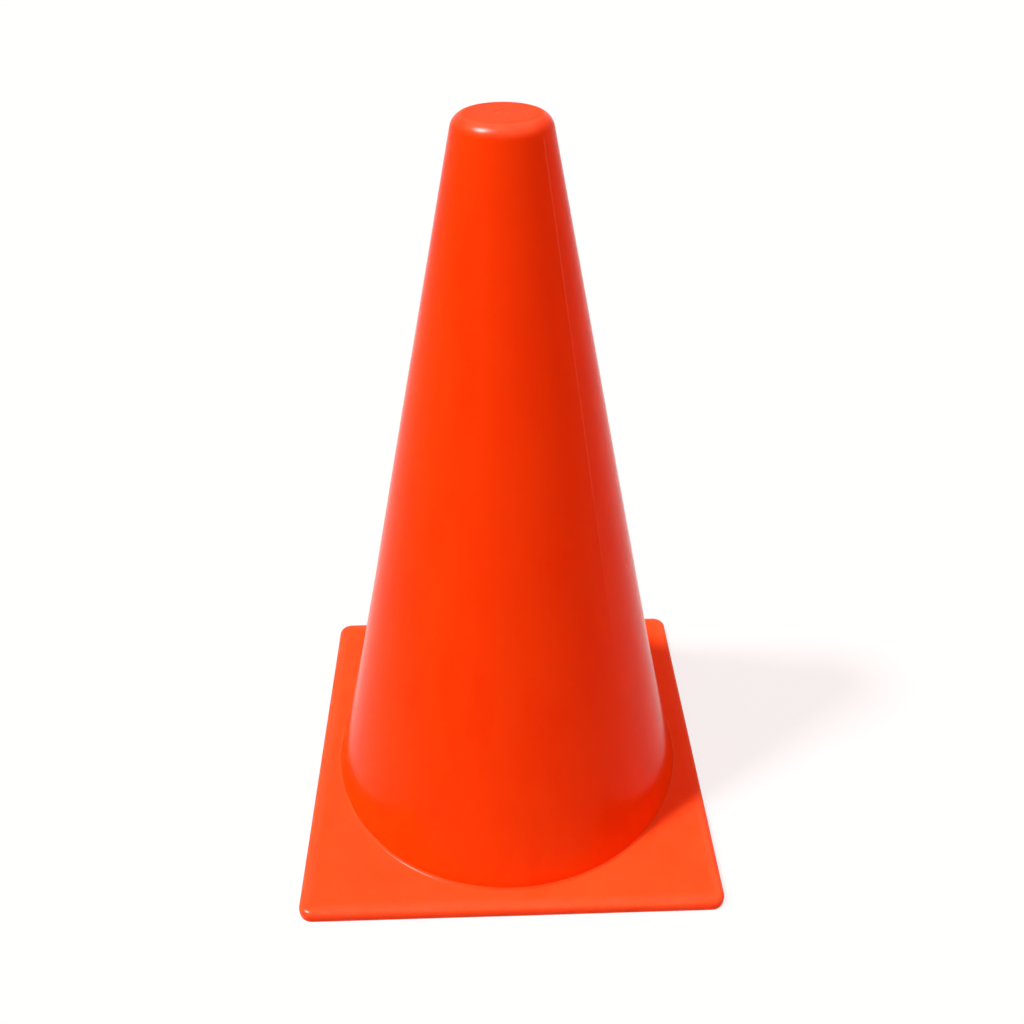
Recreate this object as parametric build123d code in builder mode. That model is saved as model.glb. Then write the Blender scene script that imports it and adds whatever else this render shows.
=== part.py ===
from build123d import *

import os
from math import atan, cos

os.makedirs("parts", exist_ok=True)

# Sports marker cone: a hollow tapered shell that stands in a square base plate.
# Millimetres, +Z up, origin on the ground at the middle of the base.

# Shell
cone_height = 305.0  # ground to the flat tip
foot_radius = 80.3  # outside of the wall where it enters the plate's collar
tip_radius = 16.3  # where the straight wall would meet the flat tip
foot_flare = 1.7  # how far the foot stands outside the straight wall's line
flare_height = 110.0  # above this the wall is straight
wall_thickness = 2.0
tip_thickness = 2.5
tip_edge_radius = 5.6
tip_inner_edge_radius = 2.0
mouth_edge_radius = 0.4

# Foot flange, which holds the shell in the plate
flange_width = 4.6
flange_thickness = 1.8
snap_bead_radius = 0.45

# Moulding gate in the middle of the tip
gate_dimple_radius = 2.6
gate_dimple_depth = 0.4
gate_stub_radius = 0.9
gate_stub_height = 0.25

# Ribs inside the shell that keep stacked cones from sticking
rib_count = 4
rib_thickness = 1.6
rib_height = 1.0
rib_start_height = 14.0
rib_length = 45.0
rib_lead_length = 4.0

# Base plate
plate_margin = 10.7  # from the foot of the shell to the middle of a side
plate_ledge_thickness = 3.2  # what is left of the plate above the flange
plate_corner_radius = 6.2
plate_top_edge_radius = 2.6
plate_bottom_edge_radius = 0.5

# Collar round the hole in the plate
collar_height = 1.0
collar_land = 0.2
collar_slope_width = 1.0

# Fits
fit_gap = 0.15  # all round, between shell and plate
cut_overrun = 1.0  # how far a cut runs past the face that it starts from

# Heights and radii that follow from the sizes above
plate_thickness = flange_thickness + plate_ledge_thickness
plate_side = 2 * (foot_radius + plate_margin)
collar_top = plate_thickness + collar_height
flange_radius = foot_radius + flange_width
mouth_radius = foot_radius - wall_thickness
hole_radius = foot_radius + fit_gap
ceiling_height = cone_height - tip_thickness
flare_middle = (flare_height + collar_top) / 2
wall_slope = (foot_radius - foot_flare - tip_radius) / (cone_height - collar_top)
wall_width = wall_thickness / cos(atan(wall_slope))  # the wall measured level


def straight_radius(height):
    """Outside of the wall at a height, without the flare."""
    return tip_radius + wall_slope * (cone_height - height)


def outside_radius(height):
    """Outside of the wall at a height, with the flare below flare_height."""
    flared_share = max(0, flare_height - height) / (flare_height - collar_top)
    return straight_radius(height) + foot_flare * flared_share**2


def inside_radius(height):
    """Inside of the wall at a height."""
    return outside_radius(height) - wall_width


# One rib, in the plane of X and Z, rooted halfway into the wall
rib_lead_end = rib_start_height + rib_lead_length
rib_end_height = rib_start_height + rib_length
rib_root = wall_thickness / 2
with BuildPart() as stacking_rib:
    with BuildSketch(Plane.XZ):
        with BuildLine():
            Polyline(
                (inside_radius(rib_start_height) + rib_root, rib_start_height),
                (inside_radius(rib_start_height), rib_start_height),
                (inside_radius(rib_lead_end) - rib_height, rib_lead_end),
                (inside_radius(rib_end_height) - rib_height, rib_end_height),
                (inside_radius(rib_end_height) + rib_root, rib_end_height),
                close=True,
            )
        make_face()
    extrude(amount=rib_thickness / 2, both=True)

# Tapered shell: one turned wall with its flange and closed tip
with BuildPart() as cone_shell:
    with BuildSketch(Plane.XZ) as wall_section:
        with BuildLine():
            Polyline(
                (mouth_radius, collar_top),
                (mouth_radius, 0),
                (flange_radius, 0),
                (flange_radius, flange_thickness),
                (foot_radius, flange_thickness),
                (foot_radius, collar_top),
            )
            Bezier(
                (outside_radius(flare_height), flare_height),
                (straight_radius(flare_middle), flare_middle),
                (foot_radius, collar_top),
            )
            Polyline(
                (outside_radius(flare_height), flare_height),
                (tip_radius, cone_height),
                (0, cone_height),
                (0, ceiling_height),
                (inside_radius(ceiling_height), ceiling_height),
                (inside_radius(flare_height), flare_height),
            )
            Bezier(
                (inside_radius(flare_height), flare_height),
                (straight_radius(flare_middle) - wall_width, flare_middle),
                (mouth_radius, collar_top),
            )
        make_face()
        fillet(wall_section.vertices().sort_by_distance((tip_radius, cone_height))[0], tip_edge_radius)
        ceiling_corner = (inside_radius(ceiling_height), ceiling_height)
        fillet(wall_section.vertices().sort_by_distance(ceiling_corner)[0], tip_inner_edge_radius)
        fillet(wall_section.vertices().sort_by_distance((mouth_radius, 0))[0], mouth_edge_radius)
        with Locations((flange_radius, flange_thickness / 2)):
            Circle(snap_bead_radius)
    revolve(axis=Axis.Z)
    with PolarLocations(0, rib_count):
        add(stacking_rib.part)
    with BuildSketch(Plane.XY.offset(cone_height)):
        Circle(gate_dimple_radius)
    extrude(amount=-gate_dimple_depth, mode=Mode.SUBTRACT)
    with BuildSketch(Plane.XY.offset(cone_height - gate_dimple_depth)):
        Circle(gate_stub_radius)
    extrude(amount=gate_stub_height)

# Base plate: a rounded square slab with a collared hole and a recess for the flange
with BuildPart() as base_plate:
    with BuildSketch():
        RectangleRounded(plate_side, plate_side, plate_corner_radius)
    extrude(amount=plate_thickness)
    fillet(base_plate.edges().group_by(Axis.Z)[-1], plate_top_edge_radius)
    fillet(base_plate.edges().group_by(Axis.Z)[0], plate_bottom_edge_radius)
    with BuildSketch(Plane.XZ):
        with BuildLine():
            Polyline(
                (hole_radius + collar_land + collar_slope_width, plate_thickness),
                (hole_radius + collar_land + collar_slope_width, flange_thickness),
                (hole_radius, flange_thickness),
                (hole_radius, collar_top),
                (hole_radius + collar_land, collar_top),
            )
            TangentArc(
                (hole_radius + collar_land + collar_slope_width, plate_thickness),
                (hole_radius + collar_land, collar_top),
                tangent=(-1, 0),
            )
        make_face()
    revolve(axis=Axis.Z)
    with BuildSketch(Plane.XZ):
        with BuildLine():
            Polyline(
                (0, -cut_overrun),
                (flange_radius + fit_gap, -cut_overrun),
                (flange_radius + fit_gap, flange_thickness),
                (hole_radius, flange_thickness),
                (hole_radius, collar_top + cut_overrun),
                (0, collar_top + cut_overrun),
                close=True,
            )
        make_face()
        with Locations((flange_radius, flange_thickness / 2)):
            Circle(snap_bead_radius + fit_gap)
    revolve(axis=Axis.Z, mode=Mode.SUBTRACT)

cone_shell.part.label = "cone_shell"
base_plate.part.label = "base_plate"
export_step(cone_shell.part, "parts/cone_shell.step")
export_step(base_plate.part, "parts/base_plate.step")
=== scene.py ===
import math

import bpy
from mathutils import Matrix, Vector, noise


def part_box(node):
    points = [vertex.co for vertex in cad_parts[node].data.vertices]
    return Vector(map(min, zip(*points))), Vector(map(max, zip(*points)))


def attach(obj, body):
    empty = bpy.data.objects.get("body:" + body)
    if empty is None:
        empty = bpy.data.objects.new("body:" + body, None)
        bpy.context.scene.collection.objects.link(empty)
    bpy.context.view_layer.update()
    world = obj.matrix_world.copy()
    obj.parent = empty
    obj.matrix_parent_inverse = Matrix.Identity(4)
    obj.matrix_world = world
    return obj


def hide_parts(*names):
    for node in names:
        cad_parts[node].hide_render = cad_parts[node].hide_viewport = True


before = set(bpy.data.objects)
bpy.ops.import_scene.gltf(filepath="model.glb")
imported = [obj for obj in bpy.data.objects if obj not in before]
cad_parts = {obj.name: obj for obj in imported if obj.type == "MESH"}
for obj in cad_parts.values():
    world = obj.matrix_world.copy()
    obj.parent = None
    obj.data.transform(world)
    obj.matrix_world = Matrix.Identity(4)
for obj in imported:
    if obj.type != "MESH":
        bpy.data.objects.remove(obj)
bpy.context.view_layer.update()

# Sports marker cone: a tapered shell that stands in a square base plate.
# Sizes in metres, +Z up, origin on the ground at the middle of the base.
# The outer sizes are read from the frame.
shell_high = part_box("cone_shell")[1]
plate_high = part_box("base_plate")[1]
cone_height = shell_high.z
plate_half = plate_high.x
collar_top = plate_high.z

# Shell sizes
foot_radius = 0.0803
tip_radius = 0.0163
foot_flare = 0.0017
flare_height = 0.110
foot_turn = 0.0008  # how much farther the wall turns out where it meets the collar
foot_turn_height = 0.025
wall_thickness = 0.0020
tip_thickness = 0.0025
tip_edge_radius = 0.0056
tip_inner_edge_radius = 0.0020
mouth_edge_radius = 0.0004
flange_width = 0.0046
flange_thickness = 0.0018
snap_bead_radius = 0.00045
bead_start_share = 0.2  # of the bead's radius, by which its ends stand off the flange's rim
gate_dimple_radius = 0.0026
gate_dimple_depth = 0.00016
gate_stub_radius = 0.0009
gate_stub_height = 0.00010

# Ribs inside the shell
rib_angles = [0, 90, 180, 270]
rib_thickness = 0.0016
rib_height = 0.0010
rib_start_height = 0.014
rib_length = 0.045
rib_lead_length = 0.004
rib_flat_share = 0.92  # of a rib's half thickness, beyond which its flank falls off

# Plate sizes
plate_thickness = 0.0050
plate_corner_radius = 0.0062
plate_top_edge_radius = 0.0026
plate_bottom_edge_radius = 0.0005
collar_land = 0.00005
collar_fillet = 0.00075
collar_tilt = 35  # degrees by which the collar's outside leans from upright
groove_end_angle = 78  # degrees from level at which the snap groove ends
fit_gap = 0.00015
seam_gap = 0.00001  # between shell and collar at the visible seam

# Sizes that follow from those above
flange_radius = foot_radius + flange_width
mouth_radius = foot_radius - wall_thickness
seam_radius = foot_radius + foot_turn
hole_radius = seam_radius + seam_gap
recess_radius = flange_radius + fit_gap
ceiling_height = cone_height - tip_thickness
wall_slope = (foot_radius - foot_flare - tip_radius) / (cone_height - collar_top)
wall_lean = math.atan(wall_slope)
wall_width = wall_thickness / math.cos(wall_lean)
rib_lead_end = rib_start_height + rib_lead_length
rib_end_height = rib_start_height + rib_length
collar_lean = math.radians(collar_tilt)
collar_drop = collar_top - plate_thickness - collar_fillet * (1 - math.sin(collar_lean))
collar_foot = (
    hole_radius + collar_land + collar_drop * math.tan(collar_lean) + collar_fillet * math.cos(collar_lean)
)

# Parting line, a fine raised seam that is stronger near the tip
parting_angle = 48  # degrees from -Y towards +X, where the photo shows the line
parting_height = 0.00016
parting_half_width = 0.00018
parting_low_share = 0.15  # of its full height, low on the wall
parting_growth_heights = (0.07, 0.21)  # between which it grows to its full height
parting_change_share = 0.35  # unevenness along the line
parting_change_length = 0.012

# Slow ripples of the wall
ripple_height = 0.00010
ripple_length = 0.055
ripple_upright_share = 0.7  # of the rate of change round the wall
ripple_foot_fade = 0.03  # height over which they die out
ripple_tip_fade = 0.02
fine_ripple_share = 0.4  # of the ripples' height
fine_ripple_rate = 2.3  # times that of the ripples

# Slight warp of the plate, and wander of its edge, each with its place in the noise
plate_lift = 0.00015
plate_lift_length = 0.07
plate_lift_reach_share = 1.3  # of the plate's half side, where the lift is full
plate_lift_noise_x = 3.1
plate_lift_noise_z = 0.4
plate_edge_wander = 0.00012
plate_wander_length = 0.05
plate_wander_noise_z = 7.7


def outside_radius(height):
    """Outside of the wall at a height, without the turn at its foot."""
    straight = tip_radius + wall_slope * (cone_height - height)
    flared_share = max(0, flare_height - height) / (flare_height - collar_top)
    return straight + foot_flare * flared_share**2


def turned_out(height):
    """How far the foot's turn stands outside the wall at a height."""
    share = max(0, 1 - (height - collar_top) / foot_turn_height)
    return foot_turn * share**2


def inside_radius(height):
    """Inside of the wall at a height."""
    return outside_radius(height) - wall_width


def smooth_step(low, high, value):
    """0 below low, 1 above high, and smooth between them."""
    share = min(1, max(0, (value - low) / (high - low)))
    return share * share * (3 - 2 * share)


def noise_between(x, y, z):
    """Smooth noise at a place, from 0 to 1."""
    return 0.5 + 0.5 * noise.noise(Vector((x, y, z)))


def spread(first, last, steps):
    """Evenly spaced values from first to last, both included."""
    return [first + (last - first) * i / steps for i in range(steps + 1)]


def arc(centre, radius, first, last, steps):
    """Points on an arc in the plane of radius and height, angles in degrees."""
    points = []
    for angle in spread(first, last, steps):
        a = math.radians(angle)
        points.append((centre[0] + radius * math.cos(a), centre[1] + radius * math.sin(a)))
    return points


def make_object(name, points, faces, sharp_angle=32):
    """A smooth mesh object whose edges past sharp_angle stay crisp."""
    mesh = bpy.data.meshes.new(name)
    mesh.from_pydata(points, [], faces)
    mesh.validate()
    mesh.polygons.foreach_set("use_smooth", [True] * len(mesh.polygons))
    mesh.set_sharp_from_angle(angle=math.radians(sharp_angle))
    piece = bpy.data.objects.new(name, mesh)
    bpy.context.scene.collection.objects.link(piece)
    return piece


def grid_faces(rows, columns, close_rows):
    """Quads over a grid of points that closes round its columns, and round its rows if asked."""
    faces = []
    for i in range(rows if close_rows else rows - 1):
        row = i * columns
        next_row = (i + 1) % rows * columns
        for j in range(columns):
            beside = (j + 1) % columns
            faces.append((row + j, next_row + j, next_row + beside, row + beside))
    return faces


# Steps of the meshes
edge_step = 0.0002  # from a crisp edge to the row beside it
round_step = 0.0004  # from the end of a rounding to the row beside it

# Shell skin

base_columns = 288
feature_sector = math.radians(2.6)  # on each side of a parting line or rib, where only its own columns are
parting_offsets = [-3.2, -1.8, -1.0, -0.45, 0, 0.45, 1.0, 1.8, 3.2]  # in half widths of the parting line
rib_offsets = [-2.2, -1.35, -1.02, -0.90, -0.4, 0.4, 0.90, 1.02, 1.35, 2.2]  # in half widths of a rib

gate_edge_steps = 3
tip_flat_steps = 6
tip_flat_start_share = 1.25  # of the gate dimple's radius
tip_flat_margin = 0.0003  # from the flat's last row to the tip's rounded edge
tip_edge_steps = 14
outside_steps = 124
outside_start = 0.0012  # below the tip's rounded edge
bead_steps = 6
flange_step = 0.001  # from the mouth's rounded edge to the row on the underside
mouth_edge_steps = 4
inside_steps = 58
inside_start = 0.003  # above the collar
inside_end = 0.004  # below the ceiling
rib_clearance = 0.001  # between the rows at a rib's ends and the others
rib_end_step = 0.0001  # over which a rib's upper end closes
tip_inner_edge_steps = 6
ceiling_steps = 3
ceiling_start_share = 0.9  # of the flat ceiling's radius


def shell_columns():
    """The mesh columns as (angle, offset along the surface, kind), angles from -Y towards +X."""
    features = []
    for angle in (parting_angle, parting_angle + 180):
        features.append((math.radians(angle), "parting", [o * parting_half_width for o in parting_offsets]))
    for angle in rib_angles:
        features.append((math.radians(angle), "rib", [o * rib_thickness / 2 for o in rib_offsets]))
    columns = []
    for i in range(base_columns):
        angle = math.tau * i / base_columns
        gaps = [abs(math.remainder(angle - f[0], math.tau)) for f in features]
        if min(gaps) > feature_sector:
            columns.append((angle, 0, "plain"))
    for angle, kind, offsets in features:
        columns.extend((angle, offset, kind) for offset in offsets)
    return sorted(columns, key=lambda c: (c[0] % math.tau, c[1]))


def gate_profile():
    """The middle of the tip: the gate's stub, its dimple and the dimple's rounded rim."""
    dimple_floor = cone_height - gate_dimple_depth
    stub_top = dimple_floor + gate_stub_height
    stub_edge = gate_stub_height / 2
    rim = gate_dimple_depth / 2
    dimple_edge = gate_dimple_radius - gate_dimple_depth
    profile = [(0, stub_top), (gate_stub_radius / 2, stub_top)]
    profile += arc((gate_stub_radius - stub_edge, stub_top - stub_edge), stub_edge, 90, 0, gate_edge_steps)
    profile += [(gate_stub_radius + stub_edge / 2, dimple_floor)]
    profile += [(gate_stub_radius + 3 * stub_edge, dimple_floor)]
    profile += [(dimple_edge - gate_dimple_depth, dimple_floor)]
    profile += arc((dimple_edge, cone_height - rim), rim, -90, -30, gate_edge_steps)
    profile += arc((gate_dimple_radius, cone_height - rim), rim, 150, 90, gate_edge_steps)
    return profile


def tip_profile():
    """The flat of the tip outside the gate's dimple, and the tip's rounded edge."""
    edge_height = cone_height - tip_edge_radius
    edge_radius = tip_radius + wall_slope * tip_edge_radius - tip_edge_radius / math.cos(wall_lean)
    flat_start = gate_dimple_radius * tip_flat_start_share
    flat = [(r, cone_height) for r in spread(flat_start, edge_radius - tip_flat_margin, tip_flat_steps)]
    lean = math.degrees(wall_lean)
    return flat + arc((edge_radius, edge_height), tip_edge_radius, 90, lean, tip_edge_steps)


def outside_profile(wall_top):
    """The outside of the wall, from the tip's rounded edge down to the seam."""
    heights = [wall_top - round_step] + spread(wall_top - outside_start, collar_top, outside_steps)
    return [(outside_radius(h) + turned_out(h), h) for h in heights]


def foot_profile():
    """The foot inside the plate: the flange with its snap bead, and the rounded edge of the mouth."""
    bead_end = math.degrees(math.acos(bead_start_share))
    mouth_edge = mouth_radius + mouth_edge_radius
    profile = [(seam_radius, collar_top - edge_step), (seam_radius, flange_thickness)]
    profile += [(flange_radius - edge_step, flange_thickness), (flange_radius, flange_thickness - edge_step)]
    profile += arc((flange_radius, flange_thickness / 2), snap_bead_radius, bead_end, -bead_end, bead_steps)
    profile += [(flange_radius, edge_step), (flange_radius - edge_step, 0), (mouth_edge + flange_step, 0)]
    profile += arc((mouth_edge, mouth_edge_radius), mouth_edge_radius, 270, 180, mouth_edge_steps)
    return profile + [(mouth_radius, collar_top)]


def inside_profile():
    """The inside of the wall, with rows at the ends of the ribs and of their leads."""
    rib_rows = [rib_start_height, rib_lead_end, rib_end_height - rib_end_step, rib_end_height]
    rows = spread(collar_top + inside_start, ceiling_height - inside_end, inside_steps)
    rows = [h for h in rows if all(abs(h - r) > rib_clearance for r in rib_rows)]
    return [(inside_radius(h), h) for h in sorted(rows + rib_rows)]


def ceiling_profile():
    """The rounded inner edge of the tip, and its ceiling in to the middle."""
    edge_height = ceiling_height - tip_inner_edge_radius
    edge_radius = inside_radius(edge_height) - tip_inner_edge_radius / math.cos(wall_lean)
    lean = math.degrees(wall_lean)
    edge = arc((edge_radius, edge_height), tip_inner_edge_radius, lean, 90, tip_inner_edge_steps)
    return edge + [(r, ceiling_height) for r in spread(edge_radius * ceiling_start_share, 0, ceiling_steps)]


def shell_profile():
    """The shell's outline as (radius, height, side), from the gate down the outside and up the inside."""
    tip = gate_profile() + tip_profile()
    sides = [
        ("tip", tip),
        ("outside", outside_profile(tip[-1][1])),
        ("foot", foot_profile()),
        ("inside", inside_profile()),
        ("ceiling", ceiling_profile()),
    ]
    return [(radius, height, side) for side, profile in sides for radius, height in profile]


def wall_ripple(angle, height):
    """Slow unevenness of the moulded wall, which dies out towards the tip and the foot."""
    around = Vector((math.sin(angle), -math.cos(angle), 0)) * outside_radius(height)
    place = (around + Vector((0, 0, height * ripple_upright_share))) / ripple_length
    foot_fade = smooth_step(0, ripple_foot_fade, height - collar_top)
    tip_fade = smooth_step(0, ripple_tip_fade, cone_height - height)
    ripples = noise.noise(place) + fine_ripple_share * noise.noise(place * fine_ripple_rate)
    return ripple_height * (foot_fade * tip_fade) * ripples


def parting_shift(offset, angle, height):
    """Height of the parting line at an offset from its middle."""
    strength = parting_low_share + (1 - parting_low_share) * smooth_step(*parting_growth_heights, height)
    strength *= 1 + parting_change_share * noise.noise(Vector((angle, 0, height / parting_change_length)))
    return parting_height * strength * math.exp(-((offset / parting_half_width) ** 2))


def rib_shift(offset, height):
    """How far a rib stands in from the inside of the wall."""
    if not rib_start_height < height < rib_end_height:
        return 0
    flank = 1 - smooth_step(rib_flat_share, 1.0, abs(offset) / (rib_thickness / 2))
    lead = min(1, (height - rib_start_height) / rib_lead_length)
    return rib_height * flank * lead


def shell_point(row, column):
    """The point of the shell's skin in one row of its profile and one of its columns."""
    radius, height, side = row
    angle, offset, kind = column
    turn = feature_sector * math.tanh(offset / max(radius, tip_radius) / feature_sector)
    if side == "outside":
        shift = wall_ripple(angle + turn, height)
        if kind == "parting":
            shift += parting_shift(offset, angle, height)
        radius += shift
        height += shift * wall_slope
    if side == "inside" and kind == "rib":
        radius -= rib_shift(offset, height)
    return (radius * math.sin(angle + turn), -radius * math.cos(angle + turn), height)


def make_shell():
    """The tapered shell as one closed skin, with its parting lines, ripples, ribs and gate mark."""
    profile = shell_profile()
    columns = shell_columns()
    points = [(0, 0, profile[0][1])]
    for row in profile[1:-1]:
        points.extend(shell_point(row, column) for column in columns)
    points.append((0, 0, profile[-1][1]))

    count = len(columns)
    last = len(points) - 1
    faces = [tuple(1 + k for k in face) for face in grid_faces(len(profile) - 2, count, False)]
    for j in range(count):
        beside = (j + 1) % count
        faces.append((0, 1 + j, 1 + beside))
        faces.append((last, last - count + beside, last - count + j))
    shell = make_object("shell_skin", points, faces)
    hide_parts("cone_shell")
    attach(shell, "root")
    return shell


# Plate skin

side_steps = 60
corner_steps = 14
collar_fillet_steps = 8
plate_top_edge_steps = 9
plate_side_steps = 3
plate_bottom_edge_steps = 4
groove_steps = 6
recess_step = 0.0001  # from the underside up to the recess's first row
top_shares = [0.02, 0.08, 0.2, 0.35, 0.5, 0.65, 0.8, 0.92, 0.98]  # of the way from the collar to the top edge
under_shares = [0.03, 0.15, 0.4, 0.65, 0.88, 0.98]  # of the way from the bottom edge to the recess


def plate_rim():
    """Points round the rounded square as (x, y, outward x, outward y)."""
    straight = plate_half - plate_corner_radius
    quarter = [(s, -plate_half, 0, -1) for s in spread(-straight, straight, side_steps)]
    for angle in spread(-90, 0, corner_steps)[1:-1]:
        nx = math.cos(math.radians(angle))
        ny = math.sin(math.radians(angle))
        quarter.append((straight + plate_corner_radius * nx, -straight + plate_corner_radius * ny, nx, ny))
    rim = []
    for i in range(4):
        turn = Matrix.Rotation(math.radians(90 * i), 2)
        for x, y, nx, ny in quarter:
            place = turn @ Vector((x, y))
            out = turn @ Vector((nx, ny))
            rim.append((place.x, place.y, out.x, out.y))
    return rim


def plate_warp(x, y):
    """How far the plate lifts off the ground at a place, most along its edges."""
    reach = smooth_step(hole_radius, plate_half * plate_lift_reach_share, math.hypot(x, y))
    noise_x = x / plate_lift_length + plate_lift_noise_x
    return plate_lift * reach * noise_between(noise_x, y / plate_lift_length, plate_lift_noise_z)


def collar_profile():
    """The plate's hole and collar as (radius, height), from the recess up and out to the plate's top."""
    profile = [(hole_radius, flange_thickness), (hole_radius, collar_top - edge_step)]
    profile += [(hole_radius, collar_top), (hole_radius + collar_land, collar_top)]
    centre = (collar_foot, plate_thickness + collar_fillet)
    return profile + arc(centre, collar_fillet, 180 + collar_tilt, 270, collar_fillet_steps)


def edge_profile():
    """The plate's outer edge as (distance in from its side, height), from the top down."""
    top = plate_top_edge_radius
    low = plate_bottom_edge_radius
    profile = []
    for angle in spread(0, 90, plate_top_edge_steps):
        a = math.radians(angle)
        profile.append((top * (1 - math.sin(a)), plate_thickness - top * (1 - math.cos(a))))
    side = spread(plate_thickness - top - round_step, low + edge_step, plate_side_steps)
    profile += [(0, z) for z in side]
    for angle in spread(0, 90, plate_bottom_edge_steps):
        a = math.radians(angle)
        profile.append((low * (1 - math.cos(a)), low * (1 - math.sin(a))))
    return profile


def recess_profile():
    """The recess for the flange as (radius, height), from the underside up, with its snap groove."""
    middle = flange_thickness / 2
    centre = (recess_radius, middle)
    profile = [(recess_radius, recess_step), (recess_radius, middle - snap_bead_radius)]
    profile += arc(centre, snap_bead_radius, -groove_end_angle, groove_end_angle, groove_steps)
    return profile + [(recess_radius, middle + snap_bead_radius), (recess_radius, flange_thickness)]


def plate_column(place, collar, edge, recess):
    """The points round the plate's section at one place of its rim."""
    x, y, nx, ny = place
    length = math.hypot(x, y)
    ux = x / length
    uy = y / length
    wave = noise_between(x / plate_wander_length, y / plate_wander_length, plate_wander_noise_z)
    wander = plate_edge_wander * wave

    def in_from_rim(back, z):
        return (x - nx * (back + wander), y - ny * (back + wander), z)

    collar_end = Vector((ux * collar_foot, uy * collar_foot, plate_thickness))
    edge_start = Vector(in_from_rim(plate_top_edge_radius, plate_thickness))
    edge_end = Vector(in_from_rim(plate_bottom_edge_radius, 0))
    recess_start = Vector((ux * recess_radius, uy * recess_radius, 0))
    column = [(ux * r, uy * r, z) for r, z in collar]
    column += [tuple(collar_end.lerp(edge_start, s)) for s in top_shares]
    column += [in_from_rim(back, z) for back, z in edge]
    column += [tuple(edge_end.lerp(recess_start, s)) for s in under_shares]
    column += [(ux * r, uy * r, z) for r, z in recess]
    return [(px, py, pz + plate_warp(px, py)) for px, py, pz in column]


def make_plate():
    """The base plate as one closed skin: collar, top, edges, underside and the recess for the flange."""
    profiles = (collar_profile(), edge_profile(), recess_profile())
    columns = [plate_column(place, *profiles) for place in plate_rim()]
    points = [point for row in zip(*columns) for point in row]
    faces = grid_faces(len(columns[0]), len(columns), True)
    plate = make_object("plate_skin", points, faces)
    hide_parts("base_plate")
    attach(plate, "root")
    return plate


# Materials

# Colours: the plain plastic, the deeper clouds in it, and the pale painted sheen
shell_colours = ((0.95, 0.060, 0.0012, 1), (0.93, 0.050, 0.0006, 1), (0.98, 0.118, 0.0460, 1))
# The plate is the shell's plastic given paler, bluer colours: painted sky reflection and light on its upward
# face
plate_colours = ((0.95, 0.090, 0.0175, 1), (0.93, 0.078, 0.0125, 1), (0.98, 0.135, 0.0520, 1))

specular_level = 0.03
plain_roughness = (0.15, 0.20)
dulled_roughness = 0.35  # added where the plastic is dulled
scratched_roughness = 0.12  # added along the scratches
subsurface_weight = 0.25
subsurface_radius = (1.0, 0.12, 0.03)
subsurface_scale = 0.004

# Unevenness of the surface, its parts as shares of the bump's distance
bump_distance = 0.000012
peel_size = 0.0045
grain_size = 0.0009
grain_share = 0.12
scratch_depth_share = 0.25

# Noises as (size in metres, detail, roughness, value where a patch begins, value where it is full)
cloud_noise = (0.045, 3.0, 0.5, 0.30, 0.70)
flow_noise = (0.011, 2.0, 0.5, 0.25, 0.75)
dulling_noise = (0.018, 4.0, 0.6, 0.25, 0.75)
scratch_noise = (0.0022, 1.0, 0.5, 0.735, 0.775)
scratch_patch_noise = (0.030, 1.0, 0.5, 0.52, 0.64)
# Patches of the painted sheen on the tip and on the plate's edge
shell_sheen_noise = (0.012, 2.0, 0.5, 0.25, 0.75)
plate_sheen_noise = (0.012, 4.0, 0.6, 0.15, 0.60)

unstretched = (1.0, 1.0, 1.0)
flow_stretch = (1.0, 1.0, 0.12)  # the flow marks run up the wall
scratch_stretch = (1.0, 0.03, 1.0)
scratch_turns = [(20, 35, 10), (70, -25, 55), (-40, 60, 120)]

# Painted sheen on the tip: a pale band over its rounded edge and flat that stands in for the haze round its
# highlight and the sky's reflection, weaker to the left and right; and the tip's dulling
rim_start_shares = (0.78, 0.24)  # of the tip's edge radius, below the flat
rim_end_shares = (0.070, 0.004)
flat_dulled_shares = (0.15, 0.01)
rim_end_sheen = 0.15
rim_left_shares = (-1.0, -0.3)  # of the tip's radius, from the middle to the right
rim_left_sheen = 0.10
rim_right_shares = (0.45, 0.95)
rim_right_sheen = 0.15
rim_patch_sheen = 0.75  # between the patches of full painted sheen
rim_dulled = 0.47

# Painted reflection along the parting lines: a pale line where the raised seam catches the bright
# surroundings
line_reflection_distances = (0.0001, 0.0005)  # from the middle of a line, between which it fades
line_reflection_heights = (0.08, 0.24)
line_reflection = 0.75
line_end_shares = (1.2, 0.6)  # of the tip's edge radius, below the flat

# Painted sheen on the plate's upper edge: a pale band where its rounding catches the light and sky, and a
# little dulling
edge_sheen_in_shares = (2.4, 1.2)  # of the edge's radius, in from the side
edge_sheen_up_shares = (0.72, 0.88)  # of the plate's thickness
edge_patch_sheen = 0.45  # between the patches of full painted sheen
edge_sheen = 0.45
edge_dulled = 0.05


def add_node(tree, kind, settings=None, **inputs):
    """A node of that kind, with its settings and some inputs set by name."""
    node = tree.nodes.new(kind)
    for name, value in (settings or {}).items():
        setattr(node, name, value)
    for name, value in inputs.items():
        node.inputs[name.replace("_", " ")].default_value = value
    return node


def math_node(tree, operation, first, second=0.0):
    """One sum on one or two values, each a socket or a number."""
    node = add_node(tree, "ShaderNodeMath", {"operation": operation})
    for socket, value in zip(node.inputs, (first, second)):
        if isinstance(value, (int, float)):
            socket.default_value = value
        else:
            tree.links.new(value, socket)
    return node.outputs[0]


def product(tree, first, *others):
    """The product of some values, each a socket or a number."""
    for other in others:
        first = math_node(tree, "MULTIPLY", first, other)
    return first


def map_range(tree, value, low, high, new_low=0.0, new_high=1.0):
    """A smooth, clamped change of range."""
    node = add_node(tree, "ShaderNodeMapRange", {"interpolation_type": "SMOOTHSTEP"})
    tree.links.new(value, node.inputs["Value"])
    node.inputs["From Min"].default_value = low
    node.inputs["From Max"].default_value = high
    node.inputs["To Min"].default_value = new_low
    node.inputs["To Max"].default_value = new_high
    return node.outputs["Result"]


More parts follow.
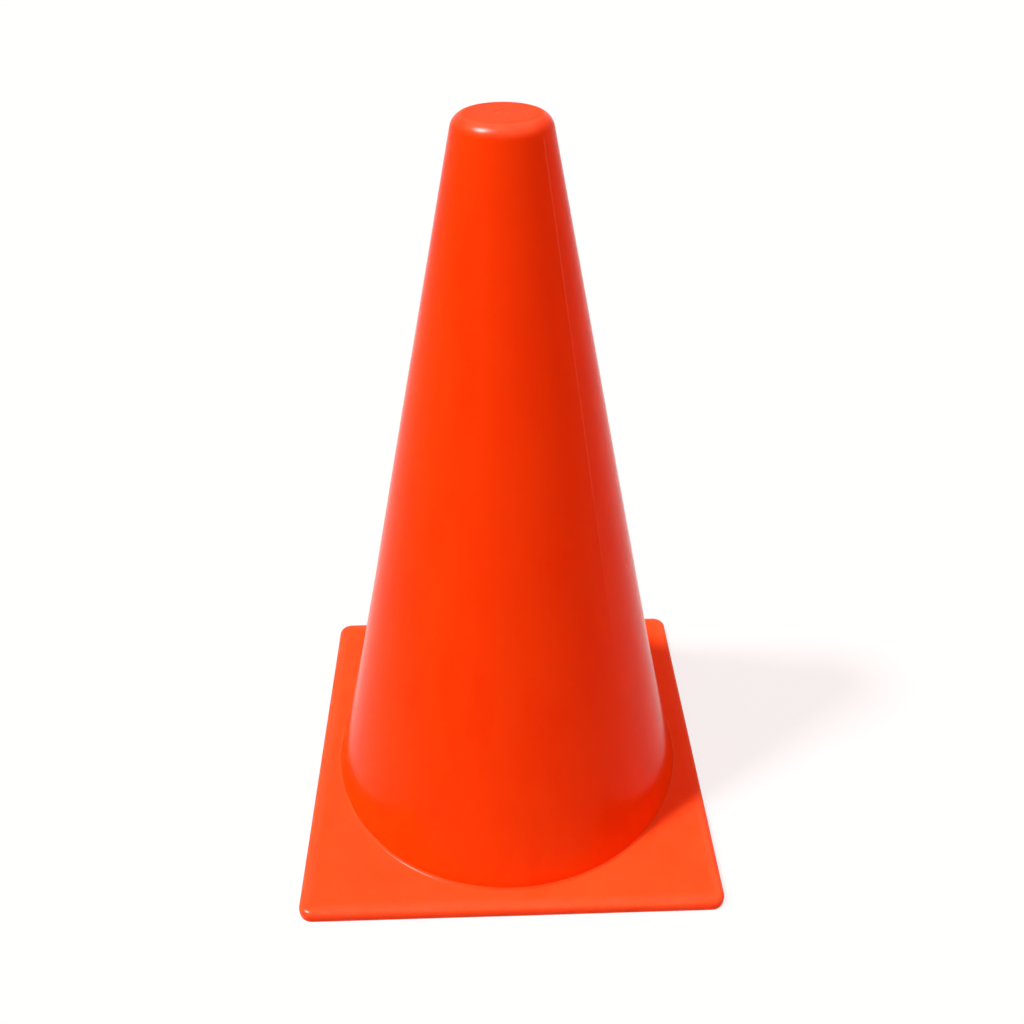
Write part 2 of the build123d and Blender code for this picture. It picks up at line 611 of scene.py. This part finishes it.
def mix_colour(tree, share, first, second):
    """A blend of two colours, each a socket or four numbers."""
    node = add_node(tree, "ShaderNodeMix", {"data_type": "RGBA"})
    tree.links.new(share, node.inputs["Factor"])
    for socket, value in zip([i for i in node.inputs if i.type == "RGBA"], (first, second)):
        if isinstance(value, tuple):
            socket.default_value = value
        else:
            tree.links.new(value, socket)
    return [o for o in node.outputs if o.type == "RGBA"][0]


def noise_share(tree, vector, size, detail, roughness=0.5):
    """Noise whose features are about size metres across, from 0 to 1."""
    node = add_node(tree, "ShaderNodeTexNoise", Scale=1 / size, Detail=detail, Roughness=roughness)
    tree.links.new(vector, node.inputs["Vector"])
    return node.outputs["Fac"]


def patches(tree, vector, patch_noise, new_low=0.0, new_high=1.0):
    """Smooth patches of new_high in new_low, from one of the noises above."""
    size, detail, roughness, low, high = patch_noise
    share = noise_share(tree, vector, size, detail, roughness)
    return map_range(tree, share, low, high, new_low, new_high)


def stretched(tree, vector, turn, stretch):
    """Coordinates turned by three angles and then stretched, for streaks and scratches."""
    node = add_node(tree, "ShaderNodeMapping")
    node.inputs["Rotation"].default_value = [math.radians(a) for a in turn]
    node.inputs["Scale"].default_value = stretch
    tree.links.new(vector, node.inputs["Vector"])
    return node.outputs["Vector"]


def split_axes(tree, place):
    """The X, Y and Z of a place."""
    axes = add_node(tree, "ShaderNodeSeparateXYZ")
    tree.links.new(place, axes.inputs[0])
    return [axes.outputs[k] for k in ("X", "Y", "Z")]


def scratches(tree, place):
    """Sparse fine scratches in three directions, from 0 to 1."""
    lines = 0.0
    for turn in scratch_turns:
        thin = patches(tree, stretched(tree, place, turn, scratch_stretch), scratch_noise)
        here = patches(tree, stretched(tree, place, turn, unstretched), scratch_patch_noise)
        lines = math_node(tree, "MAXIMUM", product(tree, thin, here), lines)
    return lines


def plastic_colour(tree, place, painted_sheen, colours):
    """The colour: clouds and flow marks of the deeper plastic in the plain one, and the pale painted sheen
    over them.
    """
    plain, deep, pale_sheen = colours
    cloud = patches(tree, place, cloud_noise)
    flow = patches(tree, stretched(tree, place, (0, 0, 0), flow_stretch), flow_noise)
    colour = mix_colour(tree, product(tree, cloud, flow), plain, deep)
    # Pale painted sheen over the plastic's colour
    return mix_colour(tree, painted_sheen, colour, pale_sheen)


def plastic_roughness(tree, place, dulled, lines):
    """The roughness, which is higher where the plastic is dulled or scratched."""
    rough = patches(tree, place, dulling_noise, *plain_roughness)
    rough = math_node(tree, "ADD", rough, product(tree, dulled, dulled_roughness))
    return math_node(tree, "ADD", rough, product(tree, lines, scratched_roughness))


def plastic_normal(tree, place, lines):
    """The fine unevenness of moulded plastic, and its scratches."""
    peel = noise_share(tree, place, peel_size, 2.0)
    grain = noise_share(tree, place, grain_size, 1.0)
    height = math_node(tree, "ADD", peel, product(tree, grain, grain_share))
    height = math_node(tree, "SUBTRACT", height, product(tree, lines, scratch_depth_share))
    bump = add_node(tree, "ShaderNodeBump", Strength=1.0, Distance=bump_distance)
    tree.links.new(height, bump.inputs["Height"])
    return bump.outputs["Normal"]


def moulded_plastic(name, colours, sheen_and_dulling):
    """Glossy moulded plastic in a plain, a deeper and a pale colour, the last for painted sheen.

    The third argument gives two shares from 0 to 1: how far it is painted with the pale sheen, and how far it
    is dulled.
    """
    material = bpy.data.materials.new(name)
    material.use_nodes = True
    tree = material.node_tree
    shader = tree.nodes["Principled BSDF"]
    place = tree.nodes.new("ShaderNodeTexCoord").outputs["Object"]
    # Where the pale painted sheen goes, and where the plastic is dulled
    painted_sheen, dulled = sheen_and_dulling(tree, place)
    lines = scratches(tree, place)
    tree.links.new(plastic_colour(tree, place, painted_sheen, colours), shader.inputs["Base Color"])
    tree.links.new(plastic_roughness(tree, place, dulled, lines), shader.inputs["Roughness"])
    tree.links.new(plastic_normal(tree, place, lines), shader.inputs["Normal"])
    shader.inputs["Specular IOR Level"].default_value = specular_level
    shader.inputs["Subsurface Weight"].default_value = subsurface_weight
    shader.inputs["Subsurface Radius"].default_value = subsurface_radius
    shader.inputs["Subsurface Scale"].default_value = subsurface_scale
    return material


def over_tip(tree, height, shares, new_low=0.0, new_high=1.0):
    """A change between two heights, given as shares of the tip's edge radius below the flat."""
    low, high = [cone_height - share * tip_edge_radius for share in shares]
    return map_range(tree, height, low, high, new_low, new_high)


def across_tip(tree, x, shares, new_low, new_high):
    """A change between two places from left to right, given as shares of the tip's radius."""
    low, high = [share * tip_radius for share in shares]
    return map_range(tree, x, low, high, new_low, new_high)


def tip_rim(tree, x, z):
    """1 from the tip's rounded edge up, 0 on the wall, and less towards the left and right ends."""
    rim = over_tip(tree, z, rim_start_shares)
    left = across_tip(tree, x, rim_left_shares, rim_left_sheen, 1.0)
    right = across_tip(tree, x, rim_right_shares, 1.0, rim_right_sheen)
    return product(tree, rim, product(tree, left, right))


def parting_painted_reflection(tree, x, y, z):
    """The pale painted reflection along the parting lines, stronger higher up, which ends below the tip's
    edge.
    """
    a = math.radians(parting_angle)
    off_line = math_node(tree, "ADD", product(tree, x, math.cos(a)), product(tree, y, math.sin(a)))
    line = map_range(tree, math_node(tree, "ABSOLUTE", off_line), *line_reflection_distances, 1.0, 0.0)
    strength = map_range(tree, z, *line_reflection_heights, 0.0, line_reflection)
    return product(tree, line, strength, over_tip(tree, z, line_end_shares, 1.0, 0.0))


def shell_sheen_and_dulling(tree, place):
    """The tip's rounded edge and the parting lines get a pale painted sheen, and the tip is dulled."""
    x, y, z = split_axes(tree, place)
    rim = tip_rim(tree, x, z)
    # Painted sheen: pale over the tip's rounded edge, less on the flat and to the sides, in patches
    off_flat = over_tip(tree, z, rim_end_shares, 1.0, rim_end_sheen)
    edge = product(tree, rim, off_flat, patches(tree, place, shell_sheen_noise, rim_patch_sheen, 1.0))
    # The paler of the tip's painted sheen and the parting lines' painted reflection
    painted_sheen = math_node(tree, "MAXIMUM", edge, parting_painted_reflection(tree, x, y, z))
    flat = over_tip(tree, z, flat_dulled_shares)
    return painted_sheen, math_node(tree, "MAXIMUM", product(tree, rim, rim_dulled), flat)


def plate_sheen_and_dulling(tree, place):
    """The upper outer edge of the plate gets a pale painted sheen and is a little dulled."""
    x, y, z = split_axes(tree, place)
    reach = math_node(tree, "MAXIMUM", math_node(tree, "ABSOLUTE", x), math_node(tree, "ABSOLUTE", y))
    reaches = [plate_half - share * plate_top_edge_radius for share in edge_sheen_in_shares]
    heights = [plate_thickness * share for share in edge_sheen_up_shares]
    # Painted sheen along the plate's upper edge, in patches
    edge = product(tree, map_range(tree, reach, *reaches), map_range(tree, z, *heights))
    pale_sheen = product(tree, edge, patches(tree, place, plate_sheen_noise, edge_patch_sheen, 1.0))
    return product(tree, pale_sheen, edge_sheen), product(tree, pale_sheen, edge_dulled)


# Floor and world

floor_half = 12.0
floor_drop = 0.0001
floor_colour = (0.9, 0.9, 0.9, 1)
floor_bounce_colour = (0.45, 0.25, 0.21, 1)
floor_glow_share = 0.8
fill_strength = 0.70
fill_colour = (1.0, 0.48, 0.39, 1)
white = (1, 1, 1, 1)


def is_seen(tree):
    """1 for rays that show the background: those of the camera, of reflections and of clear materials."""
    path = tree.nodes.new("ShaderNodeLightPath")
    seen = math_node(tree, "MAXIMUM", path.outputs["Is Camera Ray"], path.outputs["Is Glossy Ray"])
    return math_node(tree, "MAXIMUM", seen, path.outputs["Is Transmission Ray"])


def mix_shader(tree, share, first, second):
    """A blend of two shaders, by a socket or a number."""
    mix = tree.nodes.new("ShaderNodeMixShader")
    if isinstance(share, float):
        mix.inputs[0].default_value = share
    else:
        tree.links.new(share, mix.inputs[0])
    tree.links.new(first.outputs[0], mix.inputs[1])
    tree.links.new(second.outputs[0], mix.inputs[2])
    return mix


def make_floor():
    """A wide pale floor, white where it is seen, which keeps the object's shadow."""
    corners = [(-1, -1), (1, -1), (1, 1), (-1, 1)]
    points = [(x * floor_half, y * floor_half, -floor_drop) for x, y in corners]
    floor = make_object("floor", points, [(0, 1, 2, 3)])
    material = bpy.data.materials.new("pale_floor")
    material.use_nodes = True
    tree = material.node_tree
    tree.nodes.remove(tree.nodes["Principled BSDF"])
    bounce = add_node(tree, "ShaderNodeBsdfDiffuse", Color=floor_bounce_colour)
    lit = add_node(tree, "ShaderNodeBsdfDiffuse", Color=floor_colour)
    glow = add_node(tree, "ShaderNodeEmission", Strength=1.0)
    shown = mix_shader(tree, floor_glow_share, lit, glow)
    whole = mix_shader(tree, is_seen(tree), bounce, shown)
    tree.links.new(whole.outputs[0], tree.nodes["Material Output"].inputs["Surface"])
    floor.data.materials.append(material)


def make_world():
    """Even soft light from all round, behind which the background is white."""
    world = bpy.data.worlds.new("studio")
    bpy.context.scene.world = world
    world.use_nodes = True
    tree = world.node_tree
    fill = tree.nodes["Background"]
    fill.inputs["Color"].default_value = fill_colour
    fill.inputs["Strength"].default_value = fill_strength
    backdrop = add_node(tree, "ShaderNodeBackground", Color=white, Strength=1.0)
    whole = mix_shader(tree, is_seen(tree), fill, backdrop)
    tree.links.new(whole.outputs[0], tree.nodes["World Output"].inputs["Surface"])


# Lamps, high on the left, where the photo's highlights and shadow put them. Angles in degrees.

key_azimuth = -76.7
key_elevation = 57.9
key_width = 6.0
key_strength = 3.0
glint_width = 16.0
glint_strength = 36.0


def direction(azimuth, elevation):
    """Unit vector from the object towards a place, azimuth in degrees from -Y towards +X."""
    a = math.radians(azimuth)
    e = math.radians(elevation)
    return Vector((math.sin(a) * math.cos(e), -math.cos(a) * math.cos(e), math.sin(e)))


def make_sun(name, width, strength):
    """A far lamp in the key light's direction."""
    lamp = bpy.data.lights.new(name, "SUN")
    lamp.angle = math.radians(width)
    lamp.energy = strength
    sun = bpy.data.objects.new(name, lamp)
    bpy.context.scene.collection.objects.link(sun)
    away = direction(key_azimuth, key_elevation)
    sun.location = away
    sun.rotation_euler = away.to_track_quat("Z", "Y").to_euler()
    return sun


def make_lamps():
    """The key light, and a wider glow round it that only shows as gloss."""
    make_sun("key", key_width, key_strength)
    glint = make_sun("glint", glint_width, glint_strength)
    glint.visible_diffuse = False
    glint.visible_transmission = False


# Camera, fitted to the photo's outlines. Angles in degrees, lens and sensor in millimetres.

camera_azimuth = -1.235
camera_elevation = 35.117
camera_distance = 0.41844  # from the middle of the cone
camera_roll = -0.1885
camera_aim_right = 0.00663  # how far the camera aims off the middle, as slopes
camera_aim_up = -0.01245
camera_lens = 35.95
camera_sensor = 36
camera_clip_start = 0.01


def make_camera():
    """The camera at the photo's place, aimed as the photo is."""
    data = bpy.data.cameras.new("camera")
    data.sensor_width = camera_sensor
    data.lens = camera_lens
    data.clip_start = camera_clip_start
    camera = bpy.data.objects.new("camera", data)
    bpy.context.scene.collection.objects.link(camera)
    back = direction(camera_azimuth, camera_elevation)
    right = (-back).cross(Vector((0, 0, 1))).normalized()
    up = right.cross(-back)
    forward = (-back + camera_aim_right * right + camera_aim_up * up).normalized()
    right = forward.cross(Vector((0, 0, 1))).normalized()
    up = right.cross(forward)
    roll = math.radians(camera_roll)
    rolled_right = math.cos(roll) * right + math.sin(roll) * up
    rolled_up = math.cos(roll) * up - math.sin(roll) * right
    turn = Matrix((rolled_right, rolled_up, -forward)).transposed()
    place = Vector((0, 0, cone_height / 2)) + back * camera_distance
    camera.matrix_world = Matrix.Translation(place) @ turn.to_4x4()
    bpy.context.scene.camera = camera


bpy.context.scene.view_settings.view_transform = "Standard"
make_camera()
make_lamps()
make_world()
make_floor()
shell = make_shell()
plate = make_plate()
shell.data.materials.append(moulded_plastic("shell_plastic", shell_colours, shell_sheen_and_dulling))
plate.data.materials.append(moulded_plastic("plate_plastic", plate_colours, plate_sheen_and_dulling))
